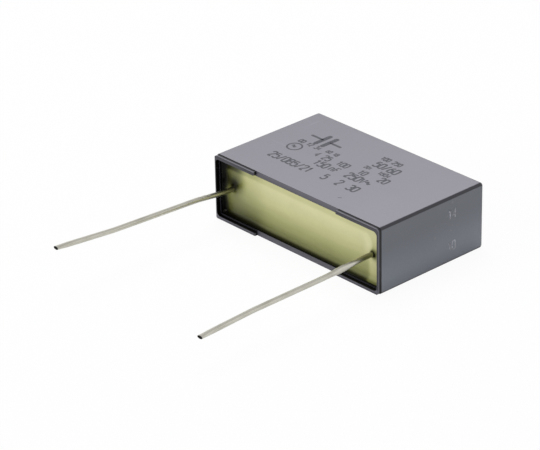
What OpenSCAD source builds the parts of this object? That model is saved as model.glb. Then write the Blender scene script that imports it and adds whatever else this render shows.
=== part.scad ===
// Box film capacitor: a pressed film winding between two sprayed metal ends, welded to two wire leads
// and potted in a plastic box. It lies on a broad side. X runs from lead to lead, Y from the board
// seat into the box, and Z through its thickness. The origin is the middle of the broad underside.
// All sizes are in millimetres.

/* [Case] */
// Length along the row of leads
case_length = 26.5; // [26:0.5:32]
// Thickness, the short side of the open end
case_thickness = 8.1; // [7:0.1:16]
// Height from the board seat to the closed end
case_height = 16.4; // [14:0.1:28]
// Wall at the broad sides
side_wall = 0.65; // [0.6:0.05:1]
// Wall at the short sides, next to the leads
short_wall = 0.45; // [0.45:0.05:0.8]
// Wall at the closed end
end_wall = 0.8; // [0.6:0.1:1.5]
// Rounding of the outer edges
edge_radius = 0.4; // [0.3:0.05:0.6]
// Rounding where two side walls meet inside
inner_corner_radius = 0.3; // [0.15:0.05:0.6]

/* [Standoff feet] */
// How far the feet stand out of the rim
foot_height = 0.5; // [0.2:0.05:0.8]
// How far each foot reaches along the broad sides
foot_reach = 6.6; // [3:0.2:9]
// Ledge between a foot and the outside of the case
foot_inset = 0.05; // [0.03:0.01:0.08]
// Ledge between a foot and the inside of the case
foot_setback = 0.2; // [0.1:0.05:0.2]
// Rounding of a foot's outer edges
foot_edge_radius = 0.1; // [0.05:0.01:0.12]

/* [Potting resin] */
// Depth of the flat resin below the board seat
resin_drop = 1.3; // [1:0.1:2.4]
// Radius of the hollow curve where the resin climbs the walls
meniscus_radius = 0.45; // [0.3:0.05:0.6]
// Thickness of the resin's lip at the top of that curve
lip_width = 0.05; // [0.03:0.01:0.1]
// Radius of the curve where the resin climbs each lead
collar_radius = 0.25; // [0.15:0.05:0.35]

/* [Winding] */
// Resin between the winding and the case, at the broad sides and the closed end
winding_cover = 0.5; // [0.3:0.1:1]
// Resin over the winding at the open end
winding_depth = 1.2; // [0.8:0.1:2.5]
// Thickness of the metal sprayed on each end
spray_thickness = 0.5; // [0.3:0.05:0.8]

/* [Leads] */
// Distance from an end of the case to the middle of the lead there
lead_margin = 2; // [1.8:0.1:3.5]
// Wire diameter
lead_diameter = 0.6; // [0.6:0.1:0.8]
// Wire from the board seat to the cut end
lead_length = 24; // [20:1:35]
// Length of wire that lies on the sprayed end
weld_length = 9; // [4:0.5:10]
// How deep the wire is sunk in the sprayed end
weld_depth = 0.15; // [0.05:0.05:0.25]

/* [Bends in the leads] */
// First bend of the left lead, along the wire from the board seat
left_first_bend = 0.2; // [0.1:0.1:2]
// Second bend of the left lead
left_second_bend = 4; // [3:0.1:8]
// Third bend of the left lead
left_third_bend = 16.2; // [12:0.1:18]
// First bend of the right lead
right_first_bend = 0.5; // [0.2:0.1:3]
// Second bend of the right lead
right_second_bend = 6; // [4:0.1:10]
// Third bend of the right lead
right_third_bend = 16.5; // [12:0.1:18]
// How much thicker the wire is at a bend
bend_swell = 0.02; // [0.01:0.01:0.05]

/* [Hidden] */
$fn = 64;

seat_y = -case_height / 2;
rim_y = seat_y + foot_height;
closed_y = case_height / 2;
mid_z = case_thickness / 2;

cavity_length = case_length - 2 * short_wall;
cavity_thickness = case_thickness - 2 * side_wall;
cavity_end_y = closed_y - end_wall;

resin_y = seat_y + resin_drop;
lip_y = resin_y - meniscus_radius;

lead_pitch = case_length - 2 * lead_margin;
lead_x = lead_pitch / 2;
spray_x = lead_x - lead_diameter / 2 + weld_depth;
film_x = spray_x - spray_thickness;
winding_thickness = cavity_thickness - 2 * winding_cover;
winding_start_y = resin_y + winding_depth;
winding_end_y = cavity_end_y - winding_cover;
weld_end_y = winding_start_y + weld_length;

// Each lead's bends as [place along the wire, turn, direction], with angles in degrees. The direction
// goes from +X towards +Z.
left_bends = [[left_first_bend, 6, 125], [left_second_bend, 3.7, -55], [left_third_bend, 2.3, 125]];
right_bends = [[right_first_bend, 1.8, -55], [right_second_bend, 1.8, 125], [right_third_bend, 1.9, -55]];

// A cut goes this far past the surface that it opens
past = 1;

plastic = "#545763";
resin = "#b5b27c";
film = "#d9dadc";
zinc = "#8f9296";
tinned = "#c3c4bd";

// A block with every edge and corner rounded, its lowest corner at the origin
module rounded_block(size, r) {
    flat = size - 2 * r * [1, 1, 1];
    xs = [r, size.x - r];
    ys = [r, size.y - r];
    zs = [r, size.z - r];
    translate([r, r, 0]) cube([flat.x, flat.y, size.z]);
    translate([r, 0, r]) cube([flat.x, size.y, flat.z]);
    translate([0, r, r]) cube([size.x, flat.y, flat.z]);
    for (x = xs, y = ys) translate([x, y, r]) cylinder(r = r, h = flat.z);
    for (x = xs, z = zs) translate([x, r, z]) rotate([-90, 0, 0]) cylinder(r = r, h = flat.y);
    for (y = ys, z = zs) translate([r, y, z]) rotate([0, 90, 0]) cylinder(r = r, h = flat.x);
    for (x = xs, y = ys, z = zs) translate([x, y, z]) sphere(r = r);
}

// A rounded block about the box's axis: its length and thickness, and the y of its two ends
module block_on_axis(length, thickness, from_y, to_y, r) {
    translate([-length / 2, from_y, mid_z - thickness / 2])
        rounded_block([length, to_y - from_y, thickness], r);
}

// An outline with rounded corners about the box's axis, carried along Y
module outline_on_axis(length, thickness, from_y, to_y, r) {
    long = length / 2 - r;
    short = thickness / 2 - r;
    translate([0, to_y, mid_z]) rotate([90, 0, 0]) linear_extrude(to_y - from_y) {
        square([2 * long, thickness], center = true);
        square([length, 2 * short], center = true);
        for (x = [-long, long], z = [-short, short]) translate([x, z]) circle(r = r);
    }
}

// The inside of the case between two places along Y
module cavity_form(from_y, to_y) {
    outline_on_axis(cavity_length, cavity_thickness, from_y, to_y, inner_corner_radius);
}

// The pressed winding's outline, two half circles and a straight, carried along X
module winding_form(from_x, to_x) {
    r = winding_thickness / 2;
    translate([from_x, 0, mid_z]) rotate([90, 0, 90]) linear_extrude(to_x - from_x) {
        translate([winding_start_y + r, -r]) square([winding_end_y - winding_start_y - 2 * r, 2 * r]);
        for (y = [winding_start_y + r, winding_end_y - r]) translate([y, 0]) circle(r = r);
    }
}

// A wire along +Z, turned a little at each bend. stops are the places along it where its straight
// stretches start and end.
module bent_wire(stops, bends, i = 0) {
    straight = stops[i + 1] - stops[i];
    cylinder(d = lead_diameter, h = straight);
    if (i < len(bends)) {
        turn = bends[i][1];
        direction = bends[i][2];
        translate([0, 0, straight]) {
            sphere(d = lead_diameter + bend_swell);
            rotate([0, 0, direction]) rotate([0, turn, 0]) rotate([0, 0, -direction])
                bent_wire(stops, bends, i + 1);
        }
    }
}

// One lead, from its welded end to its cut end
module lead(side, bends) {
    stops = [seat_y - weld_end_y, for (bend = bends) bend[0], lead_length];
    translate([side * lead_x, weld_end_y, mid_z]) rotate([90, 0, 0]) bent_wire(stops, bends);
}

// The resin that climbs a lead, from a little below the flat resin upwards
module lead_collar(side) {
    inner = lead_diameter / 2 + lip_width;
    outer = inner + collar_radius;
    root = winding_depth / 4;
    translate([side * lead_x, resin_y, mid_z]) rotate([90, 0, 0]) rotate_extrude() difference() {
        translate([0, -root]) square([outer, root + collar_radius]);
        translate([outer, collar_radius]) circle(r = collar_radius);
    }
}

// The feet: a ring around the open end, less the recess in the middle of each broad side
module feet() {
    length = case_length - 2 * foot_inset;
    thickness = case_thickness - 2 * foot_inset;
    inner_length = cavity_length + 2 * foot_setback;
    inner_thickness = cavity_thickness + 2 * foot_setback;
    recess_length = case_length - 2 * foot_reach;
    difference() {
        intersection() {
            block_on_axis(length, thickness, seat_y, rim_y + past, foot_edge_radius);
            outline_on_axis(length, thickness, seat_y - past, rim_y + 2 * past, edge_radius);
        }
        translate([-recess_length / 2, seat_y - past, -past])
            cube([recess_length, foot_height + past, case_thickness + 2 * past]);
        outline_on_axis(inner_length, inner_thickness, seat_y - past, rim_y,
            inner_corner_radius + foot_setback);
    }
}

module case() {
    color(plastic) difference() {
        union() {
            difference() {
                block_on_axis(case_length, case_thickness, rim_y - past, closed_y, edge_radius);
                translate([-case_length, rim_y - 2 * past, -past])
                    cube([2 * case_length, 2 * past, case_thickness + 2 * past]);
            }
            feet();
        }
        cavity_form(seat_y - past, cavity_end_y);
    }
}

module potting_resin() {
    dish_length = cavity_length - 2 * lip_width;
    dish_thickness = cavity_thickness - 2 * lip_width;
    color(resin) difference() {
        union() {
            difference() {
                cavity_form(lip_y, cavity_end_y);
                block_on_axis(dish_length, dish_thickness, lip_y - past, resin_y, meniscus_radius);
            }
            for (side = [-1, 1]) lead_collar(side);
        }
        winding_form(-spray_x, spray_x);
        lead(-1, left_bends);
        lead(1, right_bends);
    }
}

module film_winding() {
    color(film) winding_form(-film_x, film_x);
}

module end_spray_left() {
    color(zinc) difference() {
        winding_form(-spray_x, -film_x);
        lead(-1, left_bends);
    }
}

module end_spray_right() {
    color(zinc) difference() {
        winding_form(film_x, spray_x);
        lead(1, right_bends);
    }
}

module lead_left() {
    color(tinned) lead(-1, left_bends);
}

module lead_right() {
    color(tinned) lead(1, right_bends);
}

case();
potting_resin();
film_winding();
end_spray_left();
end_spray_right();
lead_left();
lead_right();
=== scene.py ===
import bmesh
import bpy
import numpy as np
from bpy.props import FloatProperty, FloatVectorProperty, PointerProperty, StringProperty
from mathutils import Matrix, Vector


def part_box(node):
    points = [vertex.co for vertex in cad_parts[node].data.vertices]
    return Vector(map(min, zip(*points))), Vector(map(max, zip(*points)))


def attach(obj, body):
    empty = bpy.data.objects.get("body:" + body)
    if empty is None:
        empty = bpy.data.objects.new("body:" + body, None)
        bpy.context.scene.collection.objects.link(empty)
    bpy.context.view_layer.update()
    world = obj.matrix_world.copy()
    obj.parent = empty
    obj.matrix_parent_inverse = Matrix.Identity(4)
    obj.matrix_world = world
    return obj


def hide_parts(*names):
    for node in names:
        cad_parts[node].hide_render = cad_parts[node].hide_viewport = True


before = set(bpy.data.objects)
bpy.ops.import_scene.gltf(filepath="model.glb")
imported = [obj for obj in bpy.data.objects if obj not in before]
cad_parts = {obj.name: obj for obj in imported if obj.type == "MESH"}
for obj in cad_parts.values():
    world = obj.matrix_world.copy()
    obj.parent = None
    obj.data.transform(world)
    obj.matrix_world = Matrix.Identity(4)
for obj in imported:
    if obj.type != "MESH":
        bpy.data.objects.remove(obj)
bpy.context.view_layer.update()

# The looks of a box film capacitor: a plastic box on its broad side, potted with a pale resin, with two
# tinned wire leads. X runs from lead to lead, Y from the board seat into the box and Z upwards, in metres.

bl_info = {
    "name": "Box film capacitor",
    "version": (1, 0, 0),
    "blender": (4, 5, 0),
    "location": "3D View > Sidebar > Capacitor",
    "description": "Finishes a box film capacitor round its solid model",
    "category": "Object",
}

MM = 0.001
BODY = "root"


def corners(low, high):
    """The two corners of a box as arrays."""
    return np.array(low), np.array(high)


CASE_LOW, CASE_HIGH = corners(*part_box("case"))
RESIN_LOW, RESIN_HIGH = corners(*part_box("potting_resin"))
MID_Z = (CASE_LOW[2] + CASE_HIGH[2]) / 2
FOOT_HEIGHT = 0.5 * MM
FOOT_INNER_X = 6.65 * MM
RIM_Y = float(CASE_LOW[1]) + FOOT_HEIGHT
RESIN_LEVEL = -6.9 * MM
AROUND_WIRE = 32
RELIEF_STROKE = 0.17 * MM
LOOKED_AT = np.array([-2.9778, -9.115, 3.1481]) * MM
LIT_POINT = np.array([0.0, -5.0, 4.0]) * MM


def screen_colour(red, green, blue):
    """Linear light for a colour given as screen values from 0 to 255: the power 2.4 curve with its short
    straight foot."""
    c = np.array([red, green, blue]) / 255
    return tuple(float(v) for v in np.where(c <= 0.04045, c / 12.92, ((c + 0.055) / 1.055) ** 2.4))


def length_property(name, description, millimetres, low=0.0):
    """A length in metres that is shown with a unit."""
    return FloatProperty(
        name=name, description=description, default=millimetres * MM, min=low * MM, precision=5,
        subtype="DISTANCE", unit="LENGTH",
    )


def colour_property(name, description, *values):
    """A colour given as screen values from 0 to 255."""
    return FloatVectorProperty(
        name=name, description=description, default=screen_colour(*values), min=0, max=1, size=3,
        subtype="COLOR",
    )


# ---------------------------------------------------------------- sizes and colours


class CapacitorCase(bpy.types.PropertyGroup):
    textured: colour_property("Textured", "The broad faces, which have a fine moulded texture", 134, 132, 141)
    # Painted shade: the short sides are a darker, cooler copy of the same plastic
    ends: colour_property("Ends", "The short sides, which are a little cooler", 112, 116, 124)
    # Painted dark reflection on the rounded edges; the feet take this darker colour too
    edge_reflection_and_feet: colour_property("Edges and Feet", "The feet and the rounded edges", 46, 45, 52)
    rim: colour_property("Rim", "The rim between the feet", 104, 102, 112)
    # Painted shadow along the root of the feet and at each foot's end
    ledge_shadow: colour_property("Ledge", "The dark line where the feet meet the case", 6, 6, 10)
    # Painted shade: the inner walls are the same plastic, coloured nearly black
    inside: colour_property("Inside", "The inner walls above the resin", 5, 5, 5)
    # Serves the faint scuffs and the painted highlight along the sharp edges
    worn_and_highlight: colour_property("Worn and Lit", "Corners that rubbed against other things", 150, 149, 158)
    grain: length_property("Grain", "Size of the grains of the moulded texture", 0.09, 0.01)
    # Width of the painted highlight along a sharp edge
    edge_highlight_width: length_property("Highlight", "How far the wear reaches from a sharp edge", 0.05, 0.005)


class CapacitorResin(bpy.types.PropertyGroup):
    pale: colour_property("Pale", "Resin with the winding close below it", 224, 222, 172)
    middle: colour_property("Middle", "Resin a little further down the winding's curve", 204, 203, 146)
    deep: colour_property("Deep", "Deep clear resin beside the winding", 166, 168, 108)
    olive: colour_property("Olive", "The deepest clear resin", 116, 119, 62)
    shaded: colour_property("Shaded", "Resin in the shade of a lead or a wall", 46, 46, 16)
    # The darkest painted shade, along the walls and round the leads
    dark: colour_property("Dark", "A thin film of resin on the dark wall", 7, 7, 4)
    film: length_property("Film", "How far the hardened skin stands out of the resin", 0.02, 0.005)
    climb: length_property("Climb", "How far the skin's hollow edge climbs further than the resin", 0.12)
    reach: length_property("Reach", "How fast that extra climb fades away from the wall", 0.5, 0.05)


class CapacitorLeads(bpy.types.PropertyGroup):
    tin: colour_property("Tin", "The tinned surface of the wire", 205, 203, 192)
    tarnish: colour_property("Tarnish", "Duller streaks along the wire", 178, 176, 163)
    cut: colour_property("Cut", "The sheared end, where the steel core shows", 26, 25, 24)
    diameter: length_property("Diameter", "Diameter of the wire", 0.6, 0.1)
    # Painted shade and olive reflection of the resin on the wire beside it
    resin_side_shade: colour_property("Shade", "The wire beside the resin", 88, 88, 46)
    mark_depth: length_property("Tool marks", "Depth of the marks left by the forming tool", 0.035)


class CapacitorMarks(bpy.types.PropertyGroup):
    ink: colour_property("Ink", "The printed figures", 74, 75, 82)
    # Painted highlight on the small raised figures
    relief_highlight: colour_property("Relief", "The small moulded figures on the end", 182, 185, 194)
    rating: StringProperty(name="Rating", description="The largest printed line", default="150nF 250V~")
    stroke: length_property("Stroke", "Width of a printed stroke", 0.24, 0.02)
    height: length_property("Height", "How far the ink stands out of the case", 0.003, 0.001)


class CapacitorStudio(bpy.types.PropertyGroup):
    floor: colour_property("Floor", "The floor's colour", 232, 232, 233)
    azimuth: FloatProperty(name="Azimuth", description="Camera's turn round the part in degrees", default=47.99)
    elevation: FloatProperty(name="Elevation", description="Camera's height in degrees", default=26.95)
    roll: FloatProperty(name="Roll", description="Camera's roll in degrees", default=-1.22)
    distance: length_property("Distance", "Camera's distance from the point it looks at", 302.86, 10)
    lens: FloatProperty(name="Lens", description="Focal length in millimetres", default=181.3, min=1)
    world_light: FloatProperty(name="World", description="Strength of the even light", default=0.42, min=0)
    overhead: FloatProperty(name="Overhead", description="Overhead lamp's power in watts", default=1.9, min=0)
    front: FloatProperty(name="Front", description="Front lamp's power in watts", default=1.1, min=0)


# ---------------------------------------------------------------- meshes


def quads(rows, columns, wrap):
    """Faces between neighbouring points of a grid whose point (i, j) has the number i * columns + j. With
    wrap, the last column joins the first."""
    i = np.arange(rows - 1)[:, None]
    j = np.arange(columns if wrap else columns - 1)[None, :]
    a, b = i * columns + j, i * columns + (j + 1) % columns
    return np.stack([a, b, b + columns, a + columns], axis=-1).reshape(-1, 4)


def capped_sweep(rings):
    """A closed body from rings, an array of rings x points x 3: quads between neighbouring rings, and a fan
    of triangles round the mean point of the first and last ring."""
    count, around = rings.shape[:2]
    points = np.concatenate([rings.reshape(-1, 3), rings[[0, -1]].mean(axis=1)])
    j = np.arange(around)
    last = (count - 1) * around
    start = np.stack([j, np.full(around, count * around), (j + 1) % around], axis=-1)
    end = np.stack([last + j, last + (j + 1) % around, np.full(around, count * around + 1)], axis=-1)
    return points, quads(count, around, True).tolist() + start.tolist() + end.tolist()


def closed_sheet(front, back):
    """A closed sheet from two grids of rows x columns x 3 points, joined by a strip round their border."""
    rows, columns = front.shape[:2]
    inner = quads(rows, columns, False)
    numbers = np.arange(rows * columns).reshape(rows, columns)
    rim = np.concatenate([numbers[0], numbers[1:, -1], numbers[-1, -2::-1], numbers[-2:0:-1, 0]])
    after = np.roll(rim, -1)
    strip = np.stack([rim, rim + rows * columns, after + rows * columns, after], axis=-1)
    points = np.concatenate([front.reshape(-1, 3), back.reshape(-1, 3)])
    return points, np.concatenate([inner, inner[:, ::-1] + rows * columns, strip]).tolist()


def joined(bodies):
    """Several (points, faces) bodies as one."""
    points, faces, start = [], [], 0
    for body_points, body_faces in bodies:
        points.append(body_points)
        faces += [[start + n for n in face] for face in body_faces]
        start += len(body_points)
    return np.concatenate(points), faces


def add_piece(name, body, material, attributes=None, replaced=()):
    points, faces = body
    mesh = bpy.data.meshes.new(name)
    mesh.from_pydata(points.tolist(), [], faces)
    for label, values in (attributes or {}).items():
        mesh.attributes.new(label, "FLOAT", "POINT").data.foreach_set("value", values.astype(np.float32))
    surface = bmesh.new()
    surface.from_mesh(mesh)
    bmesh.ops.recalc_face_normals(surface, faces=surface.faces)
    surface.to_mesh(mesh)
    surface.free()
    mesh.polygons.foreach_set("use_smooth", np.ones(len(mesh.polygons), bool))
    mesh.set_sharp_from_angle(angle=np.radians(40))
    mesh.materials.append(material)
    piece = bpy.data.objects.new(name, mesh)
    bpy.context.scene.collection.objects.link(piece)
    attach(piece, BODY)
    if replaced:
        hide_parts(*replaced)
    return piece


# ---------------------------------------------------------------- shader nodes


def add_node(tree, kind, inputs=None, **settings):
    """Adds a node. Each input is another node's socket, which is linked, or a value, which is set."""
    node = tree.nodes.new(kind)
    for key, value in settings.items():
        setattr(node, key, value)
    for key, value in (inputs or {}).items():
        if isinstance(value, bpy.types.NodeSocket):
            tree.links.new(value, node.inputs[key])
        elif isinstance(value, tuple) and len(value) == 3 and node.inputs[key].type == "RGBA":
            node.inputs[key].default_value = (*value, 1)
        else:
            node.inputs[key].default_value = value
    return node


def maths(tree, operation, *values, clamp=False):
    """The result of a Math node."""
    node = add_node(tree, "ShaderNodeMath", dict(enumerate(values)), operation=operation, use_clamp=clamp)
    return node.outputs[0]


def inverse(tree, value):
    """1 less a mask."""
    return maths(tree, "SUBTRACT", 1.0, value)


def blend_colours(tree, factor, first, second, mode="MIX"):
    """first where factor is 0, second where it is 1."""
    node = add_node(tree, "ShaderNodeMix", {0: factor, 6: first, 7: second}, data_type="RGBA", blend_type=mode)
    return node.outputs[2]


def toned(tree, colour, *values):
    """A colour with its red, green and blue multiplied by each of the values."""
    value = values[0]
    for other in values[1:]:
        value = maths(tree, "MULTIPLY", value, other)
    grey = add_node(tree, "ShaderNodeCombineColor", {0: value, 1: value, 2: value}).outputs[0]
    return blend_colours(tree, 1.0, colour, grey, "MULTIPLY")


def axes(tree, vector):
    """The X, Y and Z of a vector."""
    return add_node(tree, "ShaderNodeSeparateXYZ", {0: vector}).outputs


def finish(tree, shader, colour, rough, normal):
    """Links a colour, a roughness and a normal to the shader."""
    for value, socket in ((colour, "Base Color"), (rough, "Roughness"), (normal, "Normal")):
        tree.links.new(value, shader[socket])


def ramp(tree, value, low, high, out_low=0.0, out_high=1.0):
    """value stretched smoothly from low..high to out_low..out_high."""
    inputs = {0: value, 1: low, 2: high, 3: out_low, 4: out_high}
    return add_node(tree, "ShaderNodeMapRange", inputs, interpolation_type="SMOOTHSTEP").outputs[0]


def noise(tree, vector, scale, detail=2.0, roughness=0.5):
    """Noise from 0 to 1 at a position in metres, with scale lumps to a metre."""
    inputs = {"Vector": vector, "Scale": scale, "Detail": detail, "Roughness": roughness}
    return add_node(tree, "ShaderNodeTexNoise", inputs).outputs[0]


def stretched(tree, vector, *scales):
    """A position scaled along each axis."""
    return add_node(tree, "ShaderNodeMapping", {"Vector": vector, "Scale": scales}).outputs[0]


def object_place(tree):
    """The position on the object in metres."""
    return add_node(tree, "ShaderNodeTexCoord").outputs["Object"]


def new_group(name, inputs, outputs):
    """A shader node group with float inputs {name: default} and outputs {name: socket type}."""
    tree = bpy.data.node_groups.new(name, "ShaderNodeTree")
    for label, default in inputs.items():
        socket = tree.interface.new_socket(label, in_out="INPUT", socket_type="NodeSocketFloat")
        socket.default_value = default
    for label, kind in outputs.items():
        tree.interface.new_socket(label, in_out="OUTPUT", socket_type=kind)
    return tree, tree.nodes.new("NodeGroupInput").outputs, tree.nodes.new("NodeGroupOutput").inputs


def grain_group():
    """Fine grains: noise of the given size as a tone about 1, and as a bump. Also slow clouds about 1."""
    name = "Fine Grain"
    if name in bpy.data.node_groups:
        return bpy.data.node_groups[name]
    tree, given, out = new_group(
        name,
        {"Size": 0.1 * MM, "Contrast": 0.1, "Height": 0.002 * MM, "Cloud Size": 4 * MM, "Cloud Contrast": 0.05},
        {"Tone": "NodeSocketFloat", "Clouds": "NodeSocketFloat", "Normal": "NodeSocketVector"},
    )
    place = object_place(tree)
    grains = noise(tree, place, maths(tree, "DIVIDE", 1.0, given["Size"]), 3.0, 0.6)
    clouds = noise(tree, place, maths(tree, "DIVIDE", 1.0, given["Cloud Size"]), 3.0, 0.55)
    for source, contrast, target in ((grains, "Contrast", "Tone"), (clouds, "Cloud Contrast", "Clouds")):
        swing = maths(tree, "MULTIPLY", maths(tree, "SUBTRACT", source, 0.5), given[contrast])
        tree.links.new(maths(tree, "MULTIPLY_ADD", swing, 2.0, 1.0), out[target])
    bump = add_node(tree, "ShaderNodeBump", {"Strength": 1.0, "Distance": given["Height"], "Height": grains})
    tree.links.new(bump.outputs[0], out["Normal"])
    return tree


def edge_highlight_group():
    """Painted edge highlight: where the normal rounded over the given radius departs from the true one,
    broken up by noise."""
    name = "Edge Wear"
    if name in bpy.data.node_groups:
        return bpy.data.node_groups[name]
    tree, given, out = new_group(name, {"Radius": 0.05 * MM, "Breaks": 0.5}, {"Mask": "NodeSocketFloat"})
    rounded = add_node(tree, "ShaderNodeBevel", {"Radius": given["Radius"]}, samples=6).outputs[0]
    true = add_node(tree, "ShaderNodeNewGeometry").outputs["Normal"]
    same = add_node(tree, "ShaderNodeVectorMath", {0: rounded, 1: true}, operation="DOT_PRODUCT")
    edge = ramp(tree, same.outputs["Value"], 0.995, 0.86)
    patches = ramp(tree, noise(tree, object_place(tree), 900.0, 3.0), 0.35, 0.6)
    kept = maths(tree, "MULTIPLY_ADD", maths(tree, "SUBTRACT", patches, 1.0), given["Breaks"], 1.0)
    tree.links.new(maths(tree, "MULTIPLY", edge, kept, clamp=True), out["Mask"])
    return tree


def scuff_group():
    """Faint scuffs: two sets of thin stretched noise lines, one along X and one slanted."""
    name = "Faint Scuffs"
    if name in bpy.data.node_groups:
        return bpy.data.node_groups[name]
    tree, given, out = new_group(name, {"Amount": 0.5}, {"Mask": "NodeSocketFloat"})
    place = object_place(tree)
    along = noise(tree, stretched(tree, place, 0.05, 1.0, 1.0), 2600.0, 2.0)
    turned = {"Vector": place, "Rotation": (0.3, 0.2, 0.6), "Scale": (1.0, 0.04, 1.0)}
    across = noise(tree, add_node(tree, "ShaderNodeMapping", turned).outputs[0], 3000.0, 1.0)
    lines = maths(tree, "MAXIMUM", ramp(tree, along, 0.62, 0.74), ramp(tree, across, 0.70, 0.78))
    patches = ramp(tree, noise(tree, place, 160.0, 2.0), 0.45, 0.7)
    mask = maths(tree, "MULTIPLY", maths(tree, "MULTIPLY", lines, patches), given["Amount"])
    tree.links.new(mask, out["Mask"])
    return tree


def use_group(tree, group, **values):
    """Places a group. Underscores in the names of values stand for spaces."""
    node = tree.nodes.new("ShaderNodeGroup")
    node.node_tree = group
    for key, value in values.items():
        node.inputs[key.replace("_", " ")].default_value = value
    return node.outputs


def new_material(name):
    """A material with only a Principled shader and its output. Returns it, its tree and the shader's inputs."""
    material = bpy.data.materials.new(name)
    material.use_nodes = True
    tree = material.node_tree
    shader = tree.nodes["Principled BSDF"].inputs
    return material, tree, shader


def dress_node(name, material):
    """Gives a solid of the frame its material."""
    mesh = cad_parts[name].data
    mesh.materials.clear()
    mesh.materials.append(material)


# ---------------------------------------------------------------- case


def case_material(values):
    """Moulded plastic: textured pale grey outer faces with a painted sheen, short sides painted a darker shade,
    a darker rim and feet, rounded edges painted dark as their reflection, inner walls painted nearly black as
    shade, with grain, clouds, faint scuffs and painted highlights along the sharp edges."""
    material, tree, shader = new_material("case_plastic")
    coordinates = add_node(tree, "ShaderNodeTexCoord").outputs
    place = axes(tree, coordinates["Object"])
    facing = axes(tree, coordinates["Normal"])
    grain = use_group(
        tree, grain_group(), Size=values.grain, Contrast=0.09, Height=0.0035 * MM, Cloud_Size=5 * MM,
        Cloud_Contrast=0.05,
    )
    scuffs = use_group(tree, scuff_group(), Amount=0.35)
    edge_highlight = use_group(tree, edge_highlight_group(), Radius=values.edge_highlight_width, Breaks=0.6)

    # Where the surface is: flat or rounded, on the open side, and on the feet
    sizes = [maths(tree, "ABSOLUTE", facing[i]) for i in range(3)]
    flat = ramp(tree, maths(tree, "MAXIMUM", maths(tree, "MAXIMUM", sizes[0], sizes[1]), sizes[2]), 0.93, 0.995)
    front = ramp(tree, maths(tree, "MULTIPLY", facing[1], -1.0), 0.5, 0.9)
    not_front = inverse(tree, front)
    feet = ramp(tree, place[1], RIM_Y + 0.002 * MM, RIM_Y - 0.004 * MM)
    outer = maths(tree, "MULTIPLY", flat, not_front)

    # Inside the opening's outline, whose half sizes are the resin's, the walls are painted nearly black as
    # shade.
    # The feet stand back a little from it.
    half = (RESIN_HIGH - RESIN_LOW) / 2
    across = maths(tree, "ABSOLUTE", place[0])
    from_mid = maths(tree, "ABSOLUTE", maths(tree, "SUBTRACT", place[2], float(MID_Z)))
    beyond_x = maths(tree, "SUBTRACT", across, float(half[0]))
    beyond_z = maths(tree, "SUBTRACT", from_mid, float(half[2]))
    beyond = maths(tree, "MAXIMUM", beyond_x, beyond_z)
    not_closed_end = ramp(tree, place[1], 7.9 * MM, 7.8 * MM)
    wall = maths(tree, "MULTIPLY", ramp(tree, beyond, 0.02 * MM, 0.01 * MM), not_closed_end)
    back_of_foot = maths(tree, "MULTIPLY", ramp(tree, beyond, 0.23 * MM, 0.215 * MM), feet)
    inside = maths(tree, "MAXIMUM", wall, maths(tree, "MULTIPLY", back_of_foot, not_front))

    # Painted light: the broad side is a little paler towards the right and the open end, the short side towards
    # its foot
    sideways = maths(tree, "MULTIPLY_ADD", place[0], 5.6, maths(tree, "MULTIPLY", place[1], -3.4))
    downwards = ramp(tree, place[2], 1.0 * MM, 6.0 * MM, 0.5, 0.0)
    painted_light_shift = maths(tree, "MULTIPLY_ADD", sizes[2], sideways, maths(tree, "MULTIPLY", sizes[0], downwards))
    # The short sides take their painted shade colour
    colour = blend_colours(tree, sizes[0], tuple(values.textured), tuple(values.ends))
    colour = toned(tree, colour, maths(tree, "ADD", painted_light_shift, 1.0))
    # Rounded edges are painted dark, standing for their dark reflection
    colour = blend_colours(tree, outer, tuple(values.edge_reflection_and_feet), colour)

    # Painted highlight: the rim between the feet is paler at its outer edge, and a foot at its inner edge
    rim = toned(tree, tuple(values.rim), ramp(tree, beyond, 0.1 * MM, 0.6 * MM, 0.88, 1.22))
    on_rim = maths(tree, "MULTIPLY", front, inverse(tree, feet))
    colour = blend_colours(tree, on_rim, colour, rim)
    inner_edge_highlight = ramp(tree, beyond, 0.5 * MM, 0.25 * MM, 1.0, 1.45)
    # Painted reflection of the floor: a foot is paler low down
    below = ramp(tree, place[2], 0.8 * MM, 0.55 * MM, 1.0, 2.8)
    foot = toned(tree, tuple(values.edge_reflection_and_feet), inner_edge_highlight, below)
    colour = blend_colours(tree, maths(tree, "MULTIPLY", front, feet), colour, foot)

    # The feet's outer sides are as pale as the rim; a painted shadow line marks their root and each foot's end
    sides = maths(tree, "MULTIPLY", feet, not_front)
    colour = blend_colours(tree, sides, colour, tuple(values.rim))
    line = maths(tree, "MULTIPLY", ramp(tree, place[1], RIM_Y - 0.32 * MM, RIM_Y - 0.28 * MM), sides)
    foot_step_shadow = ramp(tree, across, FOOT_INNER_X - 0.02 * MM, FOOT_INNER_X + 0.01 * MM)
    line = maths(tree, "MAXIMUM", line, maths(tree, "MULTIPLY", on_rim, foot_step_shadow))
    colour = blend_colours(tree, line, colour, tuple(values.ledge_shadow))
    # Painted shade on the inner walls
    colour = blend_colours(tree, inside, colour, tuple(values.inside))
    colour = toned(tree, colour, grain["Tone"], grain["Clouds"])

    # Painted highlights along the sharp edges, and faint scuffs
    kept = maths(tree, "MAXIMUM", maths(tree, "MAXIMUM", inside, feet), line)
    open_edge_highlight = maths(tree, "MULTIPLY", edge_highlight["Mask"], inverse(tree, kept))
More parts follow.
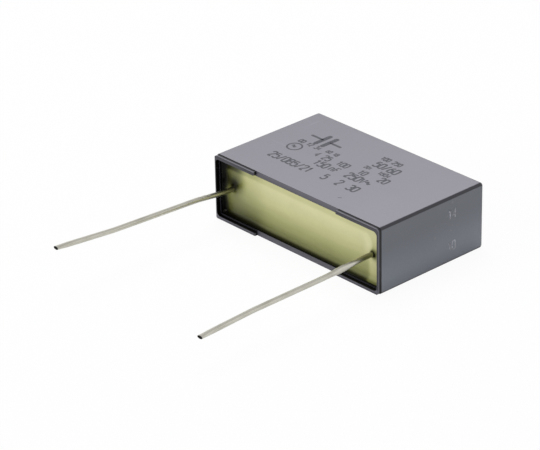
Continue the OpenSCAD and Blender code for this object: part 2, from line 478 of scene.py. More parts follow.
    # Painted highlight along the sharp edges
    colour = blend_colours(tree, maths(tree, "MULTIPLY", open_edge_highlight, 0.4), colour, tuple(values.worn_and_highlight))
    colour = blend_colours(tree, maths(tree, "MULTIPLY", scuffs["Mask"], outer), colour, tuple(values.worn_and_highlight))
    rough = maths(tree, "MULTIPLY", maths(tree, "MULTIPLY_ADD", outer, 0.14, 0.30), grain["Clouds"])
    rough = maths(tree, "MULTIPLY", rough, grain["Tone"], clamp=True)
    finish(tree, shader, colour, rough, grain["Normal"])
    # The painted shade inside also loses its gloss
    tree.links.new(maths(tree, "MULTIPLY_ADD", inside, -0.42, 0.5), shader["Specular IOR Level"])
    shader["IOR"].default_value = 1.5
    return material


# ---------------------------------------------------------------- resin and winding


def resin_material(values, name, with_depth):
    """Clear yellow-green resin with the pale winding below it. Its colour follows how deep the resin is, an
    attribute of the skin worked out with its shape that also carries painted shade along the walls and leads."""
    material, tree, shader = new_material(name)
    grain = use_group(
        tree, grain_group(), Size=0.35 * MM, Contrast=0.03, Height=0.0015 * MM, Cloud_Size=2.5 * MM,
        Cloud_Contrast=0.05,
    )
    if with_depth:
        depth = add_node(tree, "ShaderNodeAttribute", attribute_name="depth").outputs["Fac"]
        streaks = noise(tree, stretched(tree, object_place(tree), 0.12, 1.0, 1.0), 1400.0, 2.0)
        depth = maths(tree, "MULTIPLY_ADD", maths(tree, "SUBTRACT", streaks, 0.5), 0.08, depth)
        colours = add_node(tree, "ShaderNodeValToRGB", {0: depth})
        stops = colours.color_ramp.elements
        stops[0].color, stops[1].color = (*values.pale, 1), (*values.dark, 1)
        between = (0.22, values.middle), (0.42, values.deep), (0.62, values.olive), (0.82, values.shaded)
        for place, colour in between:
            stops.new(place).color = (*colour, 1)
        colour = colours.outputs[0]
        # Less gloss where the painted shade is darkest
        tree.links.new(ramp(tree, depth, 0.62, 0.9, 0.5, 0.12), shader["Specular IOR Level"])
    else:
        clouds = noise(tree, object_place(tree), 500.0, 3.0)
        colour = blend_colours(tree, clouds, tuple(values.middle), tuple(values.deep))
        along = axes(tree, object_place(tree))[1]
        # Painted shade where the body climbs the walls above the skin
        wall_edge_shade = ramp(tree, along, RESIN_LEVEL - 0.05 * MM, RESIN_LEVEL - 0.1 * MM)
        colour = blend_colours(tree, wall_edge_shade, colour, tuple(values.dark))
    colour = toned(tree, colour, grain["Tone"], grain["Clouds"])
    finish(tree, shader, colour, maths(tree, "MULTIPLY", grain["Clouds"], 0.3), grain["Normal"])
    shader["IOR"].default_value = 1.52
    return material


def hollow_edge(distance, radius):
    """Height of a hollow quarter circle of the given radius that starts level and climbs to radius where
    distance is 0: radius - sqrt(radius^2 - (radius - distance)^2)."""
    d = np.clip(distance, 0, radius)
    return radius - np.sqrt(np.clip(radius**2 - (radius - d) ** 2, 0, None))


def step_at(value, place, width):
    """A smooth step from 0 to 1 at a place: 1 / (1 + exp(-(value - place) / width))."""
    return 1 / (1 + np.exp(-(value - place) / width))


def resin_skin(values, lead_places, lead_radius):
    """The hardened face of the resin as a height over the opening: level, with a hollow edge along the walls
    and a small collar round each lead, and slow waves. Returns its body and each point's depth of resin with
    painted shade added."""
    half_x, half_z = 12.81 * MM, 3.41 * MM
    corner = 0.3 * MM
    lip, hollow, collar = 0.05 * MM, 0.45 * MM, 0.25 * MM
    fine_from = 10.2 * MM
    ends = np.linspace(fine_from, half_x, 48)
    x = np.concatenate([-ends[::-1], np.linspace(-fine_from, fine_from, 90)[1:-1], ends])
    rows = 71
    z = half_z * np.sin(np.linspace(-np.pi / 2, np.pi / 2, rows)) * 0.35
    z += np.linspace(-half_z, half_z, rows) * 0.65
    grid_x, grid_z = np.meshgrid(x, z, indexing="ij")

    # Squares in the four corners become quarter discs
    over_x = np.clip(np.abs(grid_x) - (half_x - corner), 0, None)
    over_z = np.clip(np.abs(grid_z) - (half_z - corner), 0, None)
    reach = np.maximum(np.hypot(over_x, over_z), 1e-9)
    share = np.where((over_x > 0) & (over_z > 0), np.maximum(over_x, over_z) / reach, 1.0)
    grid_x = np.sign(grid_x) * (np.abs(grid_x) - over_x * (1 - share))
    grid_z = np.sign(grid_z) * (np.abs(grid_z) - over_z * (1 - share))

    # Distance to the nearest wall of the rounded outline
    core_x, core_z = half_x - corner, half_z - corner
    out_x, out_z = np.abs(grid_x) - core_x, np.abs(grid_z) - core_z
    outside = np.hypot(np.clip(out_x, 0, None), np.clip(out_z, 0, None))
    wall = corner - (outside + np.minimum(np.maximum(out_x, out_z), 0))

    height = values.film + hollow_edge(np.clip(wall - lip, 0, None), hollow)
    height += values.climb * np.exp(-wall / values.reach)
    for lead_x in lead_places:
        from_lead = np.hypot(grid_x - lead_x, grid_z) - lead_radius
        height += hollow_edge(from_lead - lip, collar)
        height += 0.1 * MM * np.exp(-np.clip(from_lead, 0, None) / (0.2 * MM))
    waves = np.sin(grid_x / (2.9 * MM) + 0.7) * np.cos(grid_z / (1.7 * MM) - 0.4)
    waves += 0.6 * np.sin(grid_x / (1.3 * MM) - grid_z / (2.1 * MM))
    height += 0.004 * MM * (1.6 + waves) * np.clip(wall / (1.0 * MM), 0, 1)

    front = np.stack([grid_x, RESIN_LEVEL - height, grid_z + MID_Z], axis=-1)
    back = np.stack([grid_x, np.full_like(grid_x, RESIN_LEVEL + 0.08 * MM), grid_z + MID_Z], axis=-1)

    # Depth of clear resin with painted shade: least over the winding's crown, more down its curve and beside
    # its left end
    low = (half_z - grid_z) / (2 * half_z)
    # Darker down the curve, partly as painted shade below the lit crown
    depth = 0.02 + 0.56 * np.clip((low - 0.2) / 0.75, 0, None)
    depth += 0.16 * step_at(-grid_x, 6.8 * MM, 0.7 * MM)
    # Painted shadow above the left lead, at the left end's upper corner
    depth += 0.45 * step_at(-grid_x, 9.9 * MM, 0.3 * MM) * step_at(grid_z, 0.15 * MM, 0.35 * MM)

    # Paler at the right end, and a little deeper outside the winding's rounded outline there
    beside_right = step_at(grid_x, 10.6 * MM, 0.12 * MM) * step_at(-grid_z, 0.75 * MM, 0.15 * MM)
    above_right = step_at(grid_x, 9.9 * MM, 0.15 * MM) * step_at(grid_z, -0.25 * MM, 0.15 * MM)
    depth -= 0.24 * beside_right + 0.16 * above_right
    winding_x, winding_z, winding_corner = 11.0 * MM, 2.17 * MM, 1.3 * MM
    edge_x, edge_z = grid_x - (winding_x - winding_corner), grid_z - (winding_z - winding_corner)
    band = np.hypot(np.clip(edge_x, 0, None), np.clip(edge_z, 0, None)) - winding_corner
    depth += (0.16 + 0.12 * above_right) * step_at(band, 0, 0.07 * MM) * (1 - beside_right)

    # Painted shade along the walls and round the leads
    depth += 0.2 * np.exp(-(grid_z + half_z) / (0.15 * MM))
    depth += 0.45 * np.exp(-(grid_x + half_x) / (0.32 * MM))
    depth += 0.2 * np.exp(-wall / (0.2 * MM))
    lead_shades = (0.30, 0.42 * MM, 0.3 * MM), (0.8, 0.16 * MM, 0.0)
    for lead_x, (strength, spread, above) in zip(lead_places, lead_shades):
        from_lead = np.clip(np.hypot(grid_x - lead_x, grid_z - above) - lead_radius, 0, None)
        depth += strength * np.exp(-from_lead / spread)
    depth = np.clip(depth, 0, 1)
    return closed_sheet(front, back), np.concatenate([depth.ravel(), depth.ravel()])


def winding_materials():
    """Metallised film, seen as fine layers, and the rough sprayed metal of its ends."""
    film, tree, shader = new_material("film")
    grain = use_group(tree, grain_group(), Size=0.2 * MM, Contrast=0.05, Height=0.002 * MM, Cloud_Contrast=0.04)
    layers = noise(tree, stretched(tree, object_place(tree), 0.01, 1.0, 1.0), 9000.0, 1.0)
    colour = blend_colours(tree, layers, screen_colour(196, 197, 199), screen_colour(226, 226, 222))
    finish(tree, shader, colour, maths(tree, "MULTIPLY", grain["Clouds"], 0.35), grain["Normal"])
    shader["Metallic"].default_value = 0.6

    zinc, tree, shader = new_material("sprayed_zinc")
    grain = use_group(tree, grain_group(), Size=0.12 * MM, Contrast=0.3, Height=0.03 * MM, Cloud_Contrast=0.15)
    tone = maths(tree, "MULTIPLY", grain["Tone"], grain["Clouds"])
    colour = blend_colours(tree, tone, screen_colour(96, 98, 102), screen_colour(150, 152, 155))
    finish(tree, shader, colour, maths(tree, "MULTIPLY", grain["Tone"], 0.7, clamp=True), grain["Normal"])
    shader["Metallic"].default_value = 0.8
    return film, zinc


# ---------------------------------------------------------------- leads

# Each lead's route from its weld to its cut end
LEFT_ROUTE = np.array([
    [-11.25, 3.3, 4.05], [-11.25, -8.4, 4.05], [-11.4778, -12.1792, 4.3754], [-11.7587, -24.3694, 4.7764],
    [-12.1175, -32.1442, 5.2889],
]) * MM
RIGHT_ROUTE = np.array([
    [11.25, 3.3, 4.05], [11.25, -8.7, 4.05], [11.3491, -14.1973, 3.9085], [11.3491, -24.6973, 3.9085],
    [11.4917, -32.1932, 3.7048],
]) * MM


def smooth_route(route, step, spread):
    """Points about a step apart along a bent line, its bends eased by a moving average with bell-shaped
    weights. The line is carried straight on past both ends first, so its ends keep their places."""
    lengths = np.linalg.norm(np.diff(route, axis=0), axis=1)
    count = int(np.ceil(lengths.sum() / step))
    step = lengths.sum() / count
    reach = int(np.ceil(4 * spread / step))
    first = route[0] - reach * step * (route[1] - route[0]) / lengths[0]
    last = route[-1] + reach * step * (route[-1] - route[-2]) / lengths[-1]
    line = np.concatenate([[first], route[1:-1], [last]])
    places = np.concatenate([[0], np.cumsum(np.linalg.norm(np.diff(line, axis=0), axis=1))])
    along = np.linspace(0, places[-1], count + 2 * reach + 1)
    dense = np.stack([np.interp(along, places, line[:, i]) for i in range(3)], axis=-1)
    weights = np.exp(-0.5 * (np.arange(-reach, reach + 1) * step / spread) ** 2)
    weights /= weights.sum()
    return np.stack([np.convolve(dense[:, i], weights, "valid") for i in range(3)], axis=-1)


def wire_body(route, radius, marks, flats):
    """A wire along a route: rings of points whose radius is the wire's, less the tool marks, each a bell
    along the wire times a bell round it. At the flats, and where the cutter squeezed the free end, the ring is
    wider one way and thinner the other. The end is closed by rings that shrink to its middle. Returns its body
    and a mask of the cut face."""
    path = smooth_route(route, 0.08 * MM, 0.5 * MM)
    along = np.concatenate([[0], np.cumsum(np.linalg.norm(np.diff(path, axis=0), axis=1))])
    tangent = np.gradient(path, axis=0)
    tangent /= np.linalg.norm(tangent, axis=1, keepdims=True)
    up = np.array([0.0, 0.0, 1.0]) - tangent * tangent[:, 2:3]
    up /= np.linalg.norm(up, axis=1, keepdims=True)
    side = np.cross(tangent, up)
    turn = np.linspace(0, 2 * np.pi, AROUND_WIRE, endpoint=False)[None, :]
    place = path[:, 1:2]

    # Each ring's offsets to the side and upwards
    size = np.full((len(path), AROUND_WIRE), radius) * (1 + 0.004 * np.sin(along / (1.7 * MM) + 1))[:, None]
    for y, angle, depth, width, spread in marks:
        bell = np.exp(-0.5 * ((place - y) / width) ** 2)
        size -= depth * bell * np.exp(-0.5 * (((turn - angle + np.pi) % (2 * np.pi) - np.pi) / spread) ** 2)
    first, second = size * np.cos(turn), size * np.sin(turn)
    to_end = (along[-1] - along)[:, None]
    squeeze = 0.40 * np.exp(-((to_end / (0.9 * MM)) ** 1.5))
    first, second = first * (1 + 0.6 * squeeze), second * (1 - squeeze)
    for y, angle, amount, width in flats:
        share = amount * np.exp(-(((place - y) / width) ** 4))
        c, s = np.cos(angle), np.sin(angle)
        wide, thin = (c * first + s * second) * (1 + share), (c * second - s * first) * (1 - share)
        first, second = c * wide - s * thin, s * wide + c * thin

    # The rings, the cut face and the closed start
    rings = path[:, None] + side[:, None] * first[..., None] + up[:, None] * second[..., None]
    inward = np.array([0.97, 0.88, 0.6, 0.3, 0.08])[:, None, None]
    sunk = np.array([0.0, -0.010, -0.018, -0.022, -0.024])[:, None, None] * MM
    end = path[-1] + (rings[-1] - path[-1])[None] * inward + tangent[-1] * sunk
    start = path[0] + (rings[0] - path[0])[None] * inward[3:1:-1] * 0.999
    body = capped_sweep(np.concatenate([start, rings, end]))
    cut = np.zeros(len(body[0]))
    cut[(len(start) + len(rings) - 1) * AROUND_WIRE:] = 1
    cut[-2] = 0  # the point that closes the other end
    return body, cut


def lead_material(values):
    """Tinned wire: a bright metal with fine lines drawn along it, duller patches, a dark sheared end, and
    painted shade with an olive reflection beside the resin.
    """
    material, tree, shader = new_material("tinned_wire")
    grain = use_group(
        tree, grain_group(), Size=0.25 * MM, Contrast=0.05, Height=0.0008 * MM, Cloud_Size=3 * MM,
        Cloud_Contrast=0.08,
    )
    place = object_place(tree)
    lines = noise(tree, stretched(tree, place, 1.0, 0.03, 1.0), 9000.0, 2.0)
    patches = ramp(tree, noise(tree, stretched(tree, place, 1.0, 0.35, 1.0), 1300.0, 3.0), 0.42, 0.75)
    dull = maths(tree, "MULTIPLY", maths(tree, "ADD", ramp(tree, lines, 0.45, 0.8), patches), 0.45, clamp=True)
    colour = blend_colours(tree, dull, tuple(values.tin), tuple(values.tarnish))
    # Painted shade and reflection of the resin near the root
    near_resin = ramp(tree, axes(tree, place)[1], -10.2 * MM, -8.4 * MM, 0.0, 0.6)
    colour = blend_colours(tree, near_resin, colour, tuple(values.resin_side_shade))
    cut = add_node(tree, "ShaderNodeAttribute", attribute_name="cut").outputs["Fac"]
    colour = blend_colours(tree, cut, colour, tuple(values.cut))
    rough = maths(tree, "MULTIPLY", maths(tree, "MULTIPLY_ADD", dull, 0.10, 0.34), grain["Tone"])
    rough = maths(tree, "MULTIPLY_ADD", cut, 0.3, rough)
    bump = add_node(
        tree, "ShaderNodeBump",
        {"Strength": 0.5, "Distance": 0.0006 * MM, "Height": lines, "Normal": grain["Normal"]},
    )
    finish(tree, shader, colour, rough, bump.outputs[0])
    shader["Metallic"].default_value = 1.0
    return material


# ---------------------------------------------------------------- figures

# Strokes of each figure in a box one unit high. A stroke is a bent line, and a round one has its corners cut
# off until it is a curve. A loop is a round stroke that returns to its start.
SHARP, ROUND, LOOP = range(3)
FIGURES = {
    "0": [(LOOP, [(0.3, 0), (0, 0), (0, 1), (0.3, 1), (0.6, 1), (0.6, 0)])],
    "1": [(SHARP, [(0.1, 0.76), (0.34, 1), (0.34, 0)])],
    "2": [(ROUND, [(0.02, 0.76), (0.08, 1.04), (0.56, 1.04), (0.6, 0.66), (0.3, 0.36), (0.02, 0)]),
          (SHARP, [(0.02, 0), (0.58, 0)])],
    "3": [(ROUND, [(0.03, 0.86), (0.14, 1.02), (0.56, 1.04), (0.58, 0.52), (0.22, 0.54)]),
          (ROUND, [(0.22, 0.54), (0.62, 0.56), (0.64, -0.02), (0.12, -0.02), (0.0, 0.17)])],
    "4": [(SHARP, [(0.45, 0), (0.45, 1), (0.02, 0.3), (0.62, 0.3)])],
    "5": [(SHARP, [(0.54, 1), (0.08, 1), (0.04, 0.54)]),
          (ROUND, [(0.04, 0.54), (0.4, 0.74), (0.66, 0.5), (0.6, -0.04), (0.12, -0.02), (0.0, 0.14)])],
    "6": [(ROUND, [(0.5, 1), (0.1, 0.8), (0.0, 0.3)]),
          (LOOP, [(0.3, 0), (0, 0), (0, 0.58), (0.3, 0.58), (0.6, 0.58), (0.6, 0)])],
    "7": [(SHARP, [(0, 1), (0.58, 1), (0.2, 0)])],
    "8": [(LOOP, [(0.3, 0), (-0.02, 0), (-0.02, 0.52), (0.3, 0.52), (0.62, 0.52), (0.62, 0)]),
          (LOOP, [(0.3, 0.52), (0.04, 0.52), (0.04, 1), (0.3, 1), (0.56, 1), (0.56, 0.52)])],
    "9": [(ROUND, [(0.1, 0), (0.5, 0.2), (0.6, 0.7)]),
          (LOOP, [(0.3, 1), (0.6, 1), (0.6, 0.42), (0.3, 0.42), (0, 0.42), (0, 1)])],
    "/": [(SHARP, [(0.06, -0.06), (0.5, 1.06)])],
    ".": [(SHARP, [(0.24, 0.02), (0.3, 0.02)])],
    "n": [(SHARP, [(0.06, 0), (0.06, 0.66)]),
          (ROUND, [(0.06, 0.42), (0.12, 0.68), (0.52, 0.7), (0.52, 0.36), (0.52, 0)])],
    "F": [(SHARP, [(0.06, 0), (0.06, 1), (0.56, 1)]), (SHARP, [(0.06, 0.52), (0.46, 0.52)])],
    "V": [(SHARP, [(0, 1), (0.3, 0), (0.6, 1)])],
    "~": [(ROUND, [(0, 0.42), (0.1, 0.74), (0.28, 0.66), (0.38, 0.4), (0.56, 0.3), (0.66, 0.6)])],
}
ADVANCE = 0.86


def rounded_line(points, kind):
    """A bent line with its corners cut off three times, each corner giving way to points a quarter and three
    quarters of the way along its two sides."""
    line = np.array(points, float)
    if kind == SHARP:
        return line
    if kind == LOOP:
        line = np.concatenate([line, line[:1]])
    for _ in range(3):
        before, after = line[:-1], line[1:]
        cut = np.stack([before * 0.75 + after * 0.25, before * 0.25 + after * 0.75], axis=1).reshape(-1, 2)
        if kind == LOOP:
            line = np.concatenate([cut, cut[:1]])
        else:
            line = np.concatenate([line[:1], cut[1:-1], line[-1:]])
    return np.concatenate([line, line[1:2]]) if kind == LOOP else line


def stroke_body(line, width, rise, sunk):
    """A printed stroke: a low ridge along a flat line, its profile a trapezium and its ends round, with half
    width sqrt(r^2 - (r - s)^2) at a distance s from an end. Along the line it is r, half the width."""
    r = width / 2
    places = np.concatenate([[0], np.cumsum(np.linalg.norm(np.diff(line, axis=0), axis=1))])
    total = places[-1]
    round_end = r * (1 - np.cos(np.radians([12, 35, 60, 90])))
    inner = places[(places > r * 1.05) & (places < total - r * 1.05)]
    along = np.concatenate([round_end, inner, total - round_end[::-1]])
    middle = np.stack([np.interp(along, places, line[:, i]) for i in range(2)], axis=-1)
    direction = np.gradient(middle, axis=0)
    direction /= np.maximum(np.linalg.norm(direction, axis=1, keepdims=True), 1e-12)
    across = np.stack([-direction[:, 1], direction[:, 0]], axis=-1)
    from_end = np.clip(np.minimum(along, total - along), 0, r)
    half = np.sqrt(np.clip(r**2 - (r - from_end) ** 2, (0.1 * r) ** 2, None))
    profile = np.array([[-1, -sunk], [1, -sunk], [1, 0], [0.8, rise], [-0.8, rise], [-1, 0]])
    flat = middle[:, None] + across[:, None] * (half[:, None] * profile[None, :, 0])[..., None]
    level = np.broadcast_to(profile[None, :, 1], flat.shape[:2])
    return capped_sweep(np.concatenate([flat, level[..., None]], axis=-1))


def text_lines(text, start, height):
    """The strokes of a text as flat lines, with its first figure's lower left corner at start."""
    lines = []
    for number, letter in enumerate(text):
        origin = np.array(start) + [number * ADVANCE * height * 0.72, 0]
        for kind, points in FIGURES.get(letter, []):
            lines.append(rounded_line(points, kind) * [height * 0.78, height] + origin)
    return lines


def figure_bodies(lines, width, rise, sunk=0.01 * MM):
    """Strokes as bodies. Each stands a hair higher than the one before, so crossing strokes don't share a
    face."""
    return [
        stroke_body(line, width, rise * (0.8 + 0.2 * number / max(1, len(lines) - 1)), sunk)
        for number, line in enumerate(lines)
    ]


def arc_line(centre, radius, start, end, count=24):
    """Points on a circle between two angles in degrees."""
    angle = np.radians(np.linspace(start, end, count))
    return np.stack([np.cos(angle), np.sin(angle)], axis=-1) * radius + centre


def ink_material(values):
    """Dull dark ink, a little broken so the plastic shows through."""
    material, tree, shader = new_material("ink")
    grain = use_group(tree, grain_group(), Size=0.06 * MM, Contrast=0.25, Height=0.001 * MM, Cloud_Contrast=0.1)
    broken = ramp(tree, noise(tree, object_place(tree), 9000.0, 2.0), 0.52, 0.75)
    case = bpy.context.scene.capacitor_case
    colour = blend_colours(tree, maths(tree, "MULTIPLY", broken, 0.6), tuple(values.ink), tuple(case.textured))
    colour = toned(tree, colour, grain["Tone"], grain["Clouds"])
    finish(tree, shader, colour, maths(tree, "MULTIPLY", grain["Tone"], 0.6, clamp=True), grain["Normal"])
    return material


def relief_material(values):
    """Small raised figures, painted paler than the plastic round them in patches as their highlight."""
    material, tree, shader = new_material("highlit_relief")
    grain = use_group(tree, grain_group(), Size=0.05 * MM, Contrast=0.3, Height=0.001 * MM, Cloud_Contrast=0.1)
    case = bpy.context.scene.capacitor_case
    # Patches of painted highlight
    rubbed = ramp(tree, noise(tree, object_place(tree), 4000.0, 2.0), 0.35, 0.6)
    colour = blend_colours(tree, rubbed, tuple(case.textured), tuple(values.relief_highlight))
    finish(tree, shader, colour, maths(tree, "MULTIPLY", grain["Tone"], 0.45, clamp=True), grain["Normal"])
    return material


# ---------------------------------------------------------------- operators


class DressCase(bpy.types.Operator):
    """Give the plastic case its finish"""

    bl_idname = "capacitor.dress_case"
    bl_label = "Dress Case"

    def execute(self, context):
        dress_node("case", case_material(context.scene.capacitor_case))
        return {"FINISHED"}


class PourResin(bpy.types.Operator):
    """Add the resin's hardened face and finish the resin"""

    bl_idname = "capacitor.pour_resin"
    bl_label = "Pour Resin"

    def execute(self, context):
        values = context.scene.capacitor_resin
        radius = context.scene.capacitor_leads.diameter / 2
        dress_node("potting_resin", resin_material(values, "potting_resin", False))
        body, depth = resin_skin(values, (LEFT_ROUTE[1, 0], RIGHT_ROUTE[1, 0]), radius)
        material = resin_material(values, "resin_face", True)
        add_piece("resin_face", body, material, {"depth": depth})
        return {"FINISHED"}


class DressWinding(bpy.types.Operator):
    """Give the film winding and its sprayed ends their finish"""

    bl_idname = "capacitor.dress_winding"
    bl_label = "Dress Winding"

    def execute(self, context):
        film, zinc = winding_materials()
        dress_node("film_winding", film)
        dress_node("end_spray_left", zinc)
        dress_node("end_spray_right", zinc)
        return {"FINISHED"}


class DrawLeads(bpy.types.Operator):
    """Make the two wire leads with their tool marks and sheared ends"""

    bl_idname = "capacitor.draw_leads"
    bl_label = "Draw Leads"

    def execute(self, context):
        values = context.scene.capacitor_leads
        depth = values.mark_depth
        material = lead_material(values)

        # The forming tool's jaw marks, each with its place along Y and its angle round the wire
        jaws = ((-10.5, 5.4), (-11.0, 5.3), (-11.6, 5.5), (-12.2, 5.3), (-10.9, 1.2), (-11.8, 1.3))
        left_marks = [(y * MM, angle, depth, 0.13 * MM, 0.6) for y, angle in jaws]
        right_marks = [(y * MM, 1.0, 0.4 * depth, 0.2 * MM, 0.7) for y in (-10.9, -12.3)]
        for name, route, marks, flats in (
            ("lead_left", LEFT_ROUTE, left_marks, [(-11.4 * MM, 0.6, 0.05, 1.3 * MM)]),
            ("lead_right", RIGHT_ROUTE, right_marks, [(-11.7 * MM, 1.2, 0.26, 1.35 * MM)]),
        ):
            body, cut = wire_body(route, values.diameter / 2, marks, flats)
            add_piece("wire_" + name, body, material, {"cut": cut}, (name,))
        return {"FINISHED"}


class PrintFigures(bpy.types.Operator):
    """Print plain figures and a circuit symbol on the broad side"""

    bl_idname = "capacitor.print_figures"
    bl_label = "Print Figures"

    def execute(self, context):
        values = context.scene.capacitor_marks

        # Each row's text, its lower left corner and height in millimetres, and its boldness
        rows = (
            ("25/085/21", (-8.95, -3.95), 1.2, 1.0),
            ("5", (-0.45, -3.85), 1.2, 1.0),
            ("2", (1.75, -3.8), 1.2, 1.0),
            ("30", (3.5, -3.75), 1.2, 1.0),
            (values.rating[:3], (-3.75, -1.9), 1.15, 1.0),
            (values.rating[3:5], (-1.35, -1.8), 1.1, 0.85),
            (values.rating[6:], (1.1, -1.7), 1.2, 1.05),
            ("4.25", (-5.2, -0.35), 1.0, 0.9),
            ("100", (-1.75, -0.2), 0.95, 0.85),
            ("10", (1.6, -0.1), 0.95, 0.9),
            ("20", (4.6, 0.0), 1.1, 0.95),
            ("00 12 34", (-9.1, 0.95), 0.7, 0.75),
            ("60 18", (-4.8, 1.2), 0.6, 0.7),
            ("201", (1.1, 1.45), 0.55, 0.65),
            ("1604", (3.3, 1.4), 0.7, 0.7),
            ("50/60", (1.4, 2.5), 1.2, 1.05),
            ("100 250", (0.85, 4.3), 0.72, 0.8),
        )
        bodies = []
        for text, start, height, weight in rows:
            lines = text_lines(text, np.array(start) * MM, height * MM)
            bodies += figure_bodies(lines, values.stroke * weight, values.height)

        # The circuit symbol of a capacitor: two plates with a wire to each
        plates = [np.array([[x, 1.75], [x, 4.6]]) * MM for x in (-7.25, -6.15)]
        wires = [np.array([[-9.2, 3.2], [-7.25, 3.2]]) * MM, np.array([[-6.15, 3.2], [-4.3, 3.2]]) * MM]
        bodies += figure_bodies(plates, 0.62 * MM, values.height)
        bodies += figure_bodies(wires, 0.36 * MM, values.height)

        # A wave in a ring, and a nick in the plastic
        ring = [arc_line(np.array([-8.3, -0.3]) * MM, 0.88 * MM, 0, 368, 44)]
        bodies += figure_bodies(ring, 0.22 * MM, values.height)
        wave = text_lines("~", np.array([-8.75, -0.85]) * MM, 1.15 * MM)
        bodies += figure_bodies(wave, 0.22 * MM, values.height)
        nick = [np.array([[4.6, -5.9], [4.95, -5.6]]) * MM]
        bodies += figure_bodies(nick, 0.12 * MM, values.height)

        points, faces = joined(bodies)
        points[:, 2] += CASE_HIGH[2]
        add_piece("printed_figures", (points, faces), ink_material(values))
        return {"FINISHED"}


class RaiseFigures(bpy.types.Operator):
    """Add the small moulded figures on the end face"""

    bl_idname = "capacitor.raise_figures"
    bl_label = "Raise Figures"

    def execute(self, context):
        values = context.scene.capacitor_marks
        lines = text_lines("14", np.array([2.6, 5.45]) * MM, 1.1 * MM)
        lines += text_lines("10", np.array([2.6, 1.55]) * MM, 1.05 * MM)
        flat, faces = joined(figure_bodies(lines, RELIEF_STROKE, values.height))
        points = np.stack([flat[:, 2] + CASE_HIGH[0], flat[:, 0], flat[:, 1]], axis=-1)
        add_piece("moulded_figures", (points, faces), relief_material(values))
        return {"FINISHED"}


def backdrop_rays(tree, glossy):
    """1 for rays that see the backdrop: from the camera and through glass, and the given share by gloss."""
    rays = add_node(tree, "ShaderNodeLightPath").outputs
    shiny = maths(tree, "MULTIPLY", rays["Is Glossy Ray"], glossy)
    seen = maths(tree, "MAXIMUM", rays["Is Camera Ray"], shiny)
    return maths(tree, "MAXIMUM", seen, rays["Is Transmission Ray"])


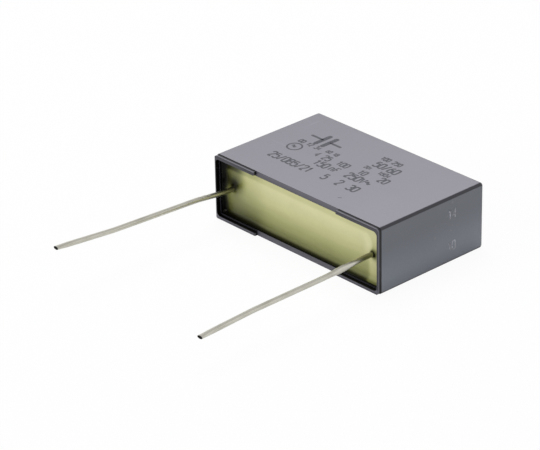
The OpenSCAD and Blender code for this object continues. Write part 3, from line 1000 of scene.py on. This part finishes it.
class BuildStudio(bpy.types.Operator):
    """Set up the floor, the lamps, the world and the camera"""

    bl_idname = "capacitor.build_studio"
    bl_label = "Build Studio"

    def add_floor(self, values):
        """A square floor at the part's underside. It is nearly white where it is seen, and keeps the part's
        shadow."""
        material = bpy.data.materials.new("floor")
        material.use_nodes = True
        tree = material.node_tree
        tree.nodes.clear()
        cloth = noise(tree, object_place(tree), 30.0, 2.0)
        colour = blend_colours(tree, cloth, tuple(values.floor), tuple(c * 0.985 for c in values.floor))
        plain = add_node(tree, "ShaderNodeBsdfDiffuse", {"Color": colour})
        glow = add_node(tree, "ShaderNodeEmission", {"Color": (1.0, 1.0, 1.0), "Strength": 1.0})
        seen = maths(tree, "MULTIPLY", backdrop_rays(tree, 0.25), 0.94)
        mixed = add_node(tree, "ShaderNodeMixShader", {0: seen, 1: plain.outputs[0], 2: glow.outputs[0]})
        add_node(tree, "ShaderNodeOutputMaterial", {0: mixed.outputs[0]})
        half, count = 1.5, 5
        side = np.linspace(-half, half, count)
        x, y = np.meshgrid(side, side, indexing="xy")
        points = np.stack([x, y, np.full_like(x, CASE_LOW[2])], axis=-1).reshape(-1, 3)
        mesh = bpy.data.meshes.new("floor")
        mesh.from_pydata(points.tolist(), [], quads(count, count, False).tolist())
        mesh.materials.append(material)
        floor = bpy.data.objects.new("floor", mesh)
        bpy.context.scene.collection.objects.link(floor)

    def add_world(self, values):
        """White where it is seen low down, darker overhead, and an even light for everything else."""
        world = bpy.data.worlds.new("studio")
        bpy.context.scene.world = world
        world.use_nodes = True
        tree = world.node_tree
        tree.nodes.clear()
        direction = add_node(tree, "ShaderNodeTexCoord").outputs["Generated"]
        reflected = ramp(tree, axes(tree, direction)[2], 0.50, 0.72, 1.0, 0.7)
        white = (1.0, 1.0, 1.0)
        even = add_node(tree, "ShaderNodeBackground", {"Color": white, "Strength": values.world_light})
        bright = add_node(tree, "ShaderNodeBackground", {"Color": white, "Strength": reflected})
        mixed = add_node(tree, "ShaderNodeMixShader", {
            0: backdrop_rays(tree, 1.0), 1: even.outputs[0], 2: bright.outputs[0]})
        add_node(tree, "ShaderNodeOutputWorld", {0: mixed.outputs[0]})

    def add_lamp(self, name, place, size, power):
        """A soft square lamp that faces the part."""
        light = bpy.data.lights.new(name, "AREA")
        light.shape, light.size, light.energy = "SQUARE", size, power
        lamp = bpy.data.objects.new(name, light)
        lamp.visible_glossy = False
        bpy.context.scene.collection.objects.link(lamp)
        lamp.matrix_world = self.facing(np.array(place), np.array(place) - LIT_POINT)

    def facing(self, place, back, roll=0.0):
        """A matrix at place whose Z points along back and whose X stays level, turned by roll about Z."""
        back = back / np.linalg.norm(back)
        right = np.cross([0.0, 0.0, 1.0], back)
        right /= np.linalg.norm(right)
        up = np.cross(back, right)
        c, s = np.cos(roll), np.sin(roll)
        matrix = np.identity(4)
        matrix[:3, 0], matrix[:3, 1], matrix[:3, 2] = c * right + s * up, c * up - s * right, back
        matrix[:3, 3] = place
        return Matrix(matrix.tolist())

    def add_camera(self, values):
        """A camera at a distance from the point that it looks at, in the direction of its two angles."""
        turn, rise = np.radians([values.azimuth, values.elevation])
        back = np.array([np.sin(turn) * np.cos(rise), -np.cos(turn) * np.cos(rise), np.sin(rise)])
        data = bpy.data.cameras.new("camera")
        data.lens, data.sensor_width, data.sensor_fit = values.lens, 36.0, "HORIZONTAL"
        data.clip_start, data.clip_end = 0.01, 10.0
        camera = bpy.data.objects.new("camera", data)
        bpy.context.scene.collection.objects.link(camera)
        camera.matrix_world = self.facing(LOOKED_AT + back * values.distance, back, np.radians(values.roll))
        bpy.context.scene.camera = camera

    def execute(self, context):
        values = context.scene.capacitor_studio
        self.add_floor(values)
        self.add_world(values)
        self.add_lamp("overhead", (-0.16, 0.12, 0.5), 0.35, values.overhead)
        self.add_lamp("front", (-0.12, -0.5, 0.28), 0.3, values.front)
        self.add_camera(values)
        context.scene.view_settings.view_transform = "Standard"
        return {"FINISHED"}


# ---------------------------------------------------------------- panel and registration

STEPS = (DressCase, PourResin, DressWinding, DrawLeads, PrintFigures, RaiseFigures, BuildStudio)
SETTINGS = {
    "capacitor_case": CapacitorCase,
    "capacitor_resin": CapacitorResin,
    "capacitor_leads": CapacitorLeads,
    "capacitor_marks": CapacitorMarks,
    "capacitor_studio": CapacitorStudio,
}


class CapacitorPanel(bpy.types.Panel):
    """Sizes, colours and steps of the capacitor"""

    bl_idname = "VIEW3D_PT_capacitor"
    bl_label = "Box Film Capacitor"
    bl_space_type = "VIEW_3D"
    bl_region_type = "UI"
    bl_category = "Capacitor"

    def draw(self, context):
        for name, group in SETTINGS.items():
            box = self.layout.box()
            box.label(text=name.split("_")[1].capitalize())
            for label in group.__annotations__:
                box.prop(getattr(context.scene, name), label)
        for step in STEPS:
            self.layout.operator(step.bl_idname)


CLASSES = (*SETTINGS.values(), *STEPS, CapacitorPanel)


def register():
    for cls in CLASSES:
        bpy.utils.register_class(cls)
    for name, group in SETTINGS.items():
        setattr(bpy.types.Scene, name, PointerProperty(type=group))


def unregister():
    for name in SETTINGS:
        delattr(bpy.types.Scene, name)
    for cls in reversed(CLASSES):
        bpy.utils.unregister_class(cls)


def main():
    register()
    bpy.ops.capacitor.dress_case()
    bpy.ops.capacitor.pour_resin()
    bpy.ops.capacitor.dress_winding()
    bpy.ops.capacitor.draw_leads()
    bpy.ops.capacitor.print_figures()
    bpy.ops.capacitor.raise_figures()
    bpy.ops.capacitor.build_studio()
    bpy.context.view_layer.update()


if __name__ == "__main__":
    main()
